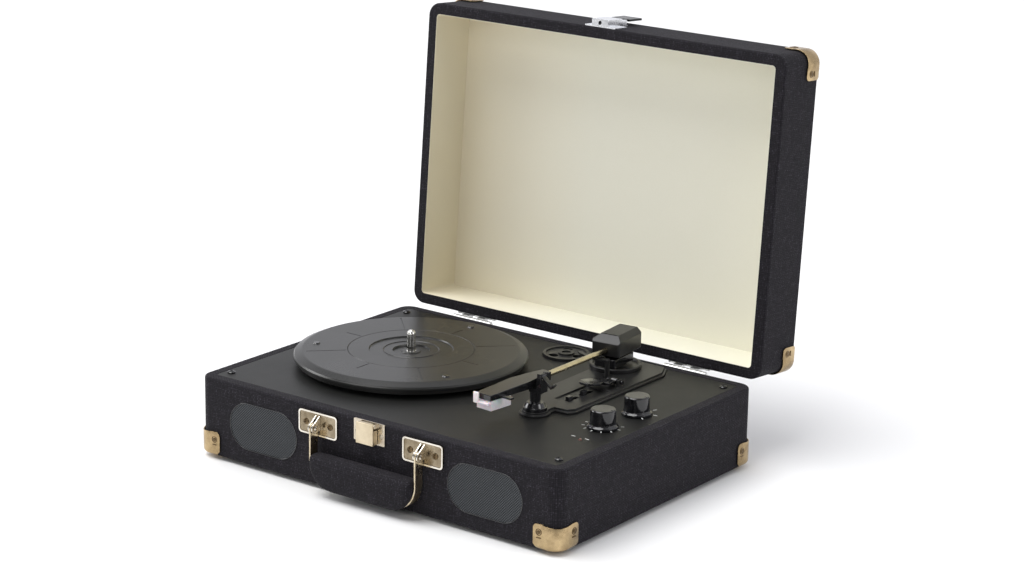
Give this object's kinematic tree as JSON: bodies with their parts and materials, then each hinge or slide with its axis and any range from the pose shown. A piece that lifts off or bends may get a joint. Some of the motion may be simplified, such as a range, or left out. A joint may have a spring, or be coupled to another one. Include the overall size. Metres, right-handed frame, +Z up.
{
  "type": "suitcase record player",
  "caption": "Portable turntable in a cloth-covered case: hinged lid, belt-driven platter, pivoted tonearm, front speakers and a carry handle.",
  "frame": {"origin": "middle of the footprint box, on the surface under the feet", "axes": "+X to the right as seen from the front, +Y to the back, +Z up along the spindle; the handle and speakers face -Y"},
  "size_m": [0.355, 0.3532, 0.3323],
  "materials": {
    "wood_board": "raw board",
    "black_board": "black paper faced board",
    "black_cloth": "woven book cloth with fine pale flecks",
    "deck_plastic": "fine satin texture",
    "platter_plastic": "satin moulded",
    "gloss_black": "gloss moulded",
    "black_screw": "black oxide",
    "black_rubber": "moulded rubber",
    "polished_steel": "polished",
    "bush_brass": "turned",
    "motor_steel": "plated can",
    "champagne_tube": "anodised champagne",
    "cartridge_plastic": "moulded",
    "stylus_red": "moulded",
    "guard_pink": "milky translucent",
    "weight_iron": "plain",
    "board_green": "solder mask",
    "led_red": "lens",
    "speaker_steel": "pressed steel",
    "cone_paper": "pulp cone",
    "grille_cloth": "fine grey-green mesh",
    "gilt_steel": "gilt plated",
    "nickel": "warm nickel plate",
    "dark_nickel": "dark plated",
    "antique_brass": "antique brass",
    "hinge_steel": "bright zinc",
    "cream_paper": "ivory lining paper"
  },
  "bodies": {
    "case": {"base_walls": "wood_board", "base_bottom": "black_board", "base_wrap": "black_cloth", "deck_plate": "deck_plastic", "deck_screws": "black_screw", "spindle_bush": "bush_brass", "drive_belt": "black_rubber", "motor": "motor_steel", "motor_grommets": "black_rubber", "tonearm_base": "deck_plastic", "pivot_pedestal": "deck_plastic", "arm_rest": "gloss_black", "control_pots": "motor_steel", "circuit_board": "board_green", "power_led": "led_red", "speaker_drivers": "speaker_steel", "speaker_cones": "cone_paper", "speaker_grilles": "grille_cloth", "handle_brackets": "nickel", "handle_pins": "nickel", "bracket_screws": "gilt_steel", "latch_plate": "nickel", "latch_pin": "polished_steel", "base_corners": "antique_brass", "hinge_base_leaves": "hinge_steel", "hinge_pins": "polished_steel", "rubber_feet": "black_rubber", "rear_panel": "deck_plastic", "rear_jacks": "polished_steel"},
    "lid": {"lid_box": "wood_board", "lid_wrap": "black_cloth", "lid_lining": "cream_paper", "lid_corners": "antique_brass", "lid_catch": "nickel", "hinge_lid_leaves": "hinge_steel"},
    "catch_lever": {"catch_lever": "dark_nickel"},
    "platter": {"platter": "platter_plastic", "platter_studs": "black_rubber", "spindle": "polished_steel"},
    "motor_pulley": {"motor_pulley": "bush_brass"},
    "adapter": {"adapter_45": "deck_plastic"},
    "arm_yoke": {"tonearm_yoke": "gloss_black", "arm_pivot_pin": "polished_steel"},
    "tonearm": {"tonearm_housing": "gloss_black", "tonearm_tube": "champagne_tube", "headshell": "gloss_black", "cartridge": "cartridge_plastic", "stylus": "stylus_red", "counterweight": "weight_iron"},
    "stylus_guard": {"stylus_guard": "guard_pink"},
    "arm_clip": {"arm_clip": "gloss_black"},
    "cue_lever": {"cue_lever": "gloss_black"},
    "cue_platform": {"cue_platform": "gloss_black"},
    "speed_switch": {"speed_switch": "gloss_black"},
    "autostop_switch": {"autostop_switch": "gloss_black"},
    "volume_knob": {"volume_knob": "gloss_black"},
    "mode_knob": {"mode_knob": "gloss_black"},
    "handle": {"handle_grip": "black_cloth", "handle_strap": "gilt_steel"},
    "latch_lever": {"latch_lever": "gilt_steel"}
  },
  "joints": [
    {"name": "lid_hinge", "type": "hinge", "parent": "case", "child": "lid", "pos_m": [0, 0.10281, 0.06379], "axis": [1, 0, 0], "range_deg": [0, 94.3]},
    {"name": "catch_lever_hinge", "type": "hinge", "parent": "lid", "child": "catch_lever", "pos_m": [-0.0007, 0.15111, 0.32727], "axis": [1, 0, 0], "range_deg": [0, 60]},
    {"name": "platter_spin", "type": "hinge", "parent": "case", "child": "platter", "pos_m": [-0.067, -0.02965, 0.074], "axis": [0, 0, -1], "continuous": true},
    {"name": "motor_spin", "type": "hinge", "parent": "case", "child": "motor_pulley", "pos_m": [-0.12385, 0.0272, 0.064], "axis": [0, 0, -1], "continuous": true},
    {"name": "adapter_lift", "type": "slide", "parent": "case", "child": "adapter", "axis": [0, 0, 1], "range_m": [0, 0.03]},
    {"name": "tonearm_swing", "type": "hinge", "parent": "case", "child": "arm_yoke", "pos_m": [0.07, 0.05985, 0.0868], "axis": [0, 0, -1], "range_deg": [0, 40]},
    {"name": "tonearm_lift", "type": "hinge", "parent": "arm_yoke", "child": "tonearm", "pos_m": [0.07, 0.05985, 0.0868], "axis": [-0.9951, -0.0993, 0], "range_deg": [0, 4]},
    {"name": "stylus_guard_pull", "type": "slide", "parent": "tonearm", "child": "stylus_guard", "axis": [-0.0976, -0.9952, 0], "range_m": [0, 0.025]},
    {"name": "arm_clip_turn", "type": "hinge", "parent": "case", "child": "arm_clip", "pos_m": [0.0908, -0.06715, 0.09816], "axis": [0, -1, 0], "range_deg": [0, 218]},
    {"name": "cue_lever_turn", "type": "hinge", "parent": "case", "child": "cue_lever", "pos_m": [0.0974, 0.01985, 0.0736], "axis": [-1, 0, 0], "range_deg": [0, 28]},
    {"name": "cue_platform_rise", "type": "slide", "parent": "case", "child": "cue_platform", "axis": [0, 0, 1], "range_m": [0, 0.00209]},
    {"name": "speed_switch_slide", "type": "slide", "parent": "case", "child": "speed_switch", "axis": [0, 1, 0], "range_m": [0, 0.008]},
    {"name": "autostop_switch_slide", "type": "slide", "parent": "case", "child": "autostop_switch", "axis": [0, 1, 0], "range_m": [0, 0.008]},
    {"name": "volume_turn", "type": "hinge", "parent": "case", "child": "volume_knob", "pos_m": [0.1435, -0.06165, 0.074], "axis": [0, 0, -1], "range_deg": [0, 300]},
    {"name": "mode_turn", "type": "hinge", "parent": "case", "child": "mode_knob", "pos_m": [0.145, -0.01915, 0.074], "axis": [0, 0, -1], "range_deg": [0, 90]},
    {"name": "handle_swing", "type": "hinge", "parent": "case", "child": "handle", "pos_m": [0, -0.16665, 0.0515], "axis": [-1, 0, 0], "range_deg": [0, 135]},
    {"name": "latch_lever_turn", "type": "hinge", "parent": "case", "child": "latch_lever", "pos_m": [-0.0007, -0.16405, 0.064], "axis": [-1, 0, 0], "range_deg": [0, 50]}
  ],
  "couplings": [
    {"joint": "motor_spin", "follows": "platter_spin", "ratio": 11.154},
    {"joint": "cue_lever_turn", "follows": "tonearm_lift", "ratio": 7},
    {"joint": "cue_platform_rise", "follows": "tonearm_lift", "m_per_rad": 0.029976}
  ]
}
